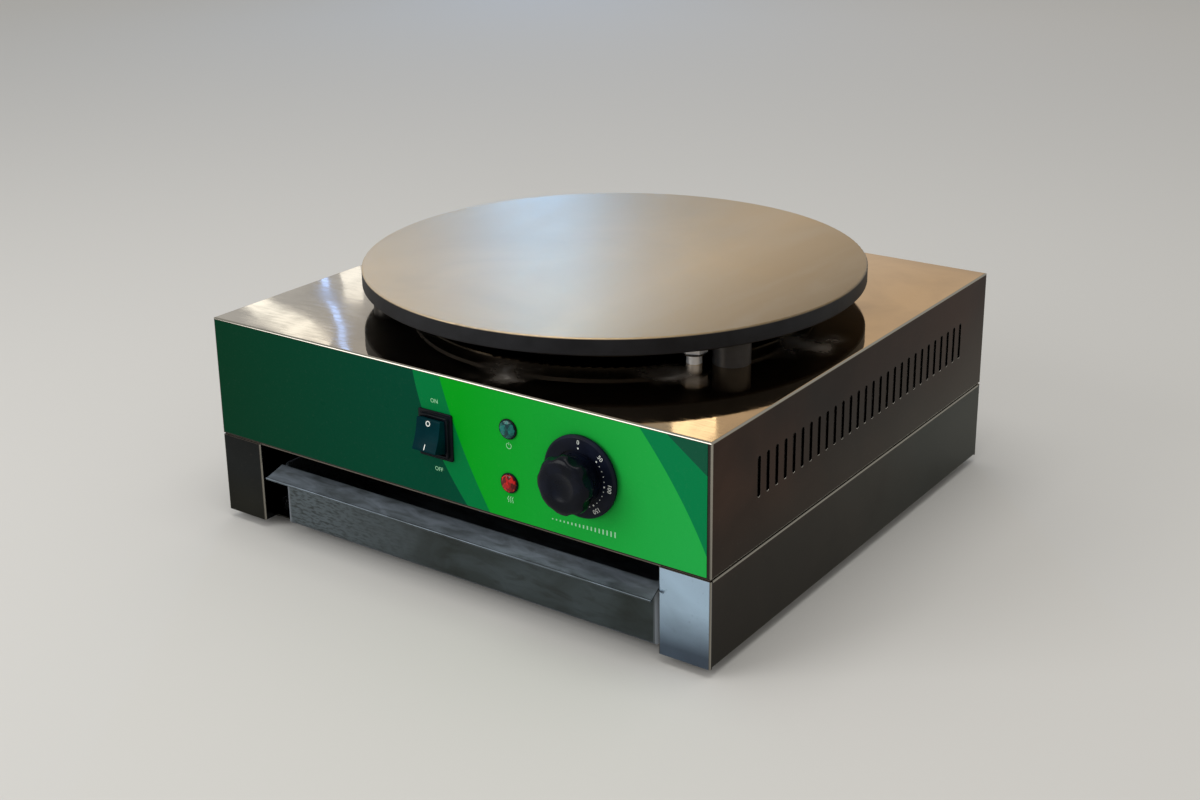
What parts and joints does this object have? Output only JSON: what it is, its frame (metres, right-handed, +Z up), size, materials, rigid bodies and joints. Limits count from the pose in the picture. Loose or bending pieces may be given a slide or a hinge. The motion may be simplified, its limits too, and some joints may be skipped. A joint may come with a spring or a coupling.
{
  "type": "crepe maker",
  "caption": "Countertop electric crepe maker: a round cast griddle plate on posts over a folded steel housing with switch, lamps and dial, and a pull-out drip drawer below.",
  "frame": {"origin": "on the surface it stands on, under the middle of its footprint", "axes": "+X to the right, +Y to the rear, +Z up; the controls are on the -Y side"},
  "size_m": [0.454, 0.4844, 0.2013],
  "materials": {
    "sheet_steel": "polished",
    "drawer_steel": "dull",
    "cast_plate": "machined and seasoned",
    "blackened_steel": "satin",
    "zinc": "bright zinc plate",
    "green_overlay": "printed gloss",
    "black_plastic": "moulded",
    "rocker_plastic": "moulded",
    "green_lens": "clear moulded",
    "red_lens": "clear moulded",
    "rubber": "matt",
    "ceramic": "glazed",
    "thermostat_case": "moulded",
    "brass": "bright",
    "copper": "drawn",
    "element_sheath": "heat tinted",
    "insulation": "pressed fibre",
    "wire_sleeve": "extruded"
  },
  "bodies": {
    "chassis": {"left_side_panel": "sheet_steel", "right_side_panel": "sheet_steel", "rear_panel": "sheet_steel", "rear_panel_screws": "zinc", "drawer_guides": "sheet_steel", "rubber_feet": "rubber", "foot_screws": "zinc", "foot_nuts": "zinc", "housing_floor": "sheet_steel", "upper_housing": "sheet_steel", "housing_screws": "zinc", "housing_nuts": "zinc", "front_overlay": "green_overlay", "griddle_plate": "cast_plate", "plate_posts": "blackened_steel", "plate_bolts": "zinc", "plate_washers": "zinc", "heat_pan": "sheet_steel", "insulation_pad": "insulation", "pan_studs": "zinc", "pan_spacers": "zinc", "pan_nuts": "zinc", "outer_element": "element_sheath", "inner_element": "element_sheath", "element_clamps": "sheet_steel", "clamp_studs": "zinc", "clamp_nuts": "zinc", "element_terminals": "ceramic", "element_links": "brass", "switch_body": "black_plastic", "switch_terminals": "brass", "lamp_bodies": "black_plastic", "green_lamp_lens": "green_lens", "red_lamp_lens": "red_lens", "thermostat_body": "thermostat_case", "thermostat_screws": "zinc", "sensing_bulb": "copper", "bulb_clips": "sheet_steel", "capillary_tube": "copper", "terminal_block": "ceramic", "terminal_screws": "brass", "earth_stud": "brass", "wiring": "wire_sleeve", "cable_gland": "black_plastic", "gland_nut": "black_plastic", "gland_seal": "rubber"},
    "drawer": {"drip_drawer": "drawer_steel"},
    "knob": {"dial_skirt": "black_plastic", "knob_grip": "black_plastic", "thermostat_shaft": "zinc"},
    "rocker": {"rocker": "rocker_plastic"}
  },
  "joints": [
    {"name": "drawer_slide", "type": "slide", "parent": "chassis", "child": "drawer", "axis": [0, -1, 0], "range_m": [0, 0.435]},
    {"name": "knob_turn", "type": "hinge", "parent": "chassis", "child": "knob", "pos_m": [0.126, -0.22575, 0.123], "axis": [0, -1, 0], "range_deg": [0, 295]},
    {"name": "rocker_tilt", "type": "hinge", "parent": "chassis", "child": "rocker", "pos_m": [-0.002, -0.21755, 0.123], "axis": [1, 0, 0], "range_deg": [0, 34]}
  ]
}
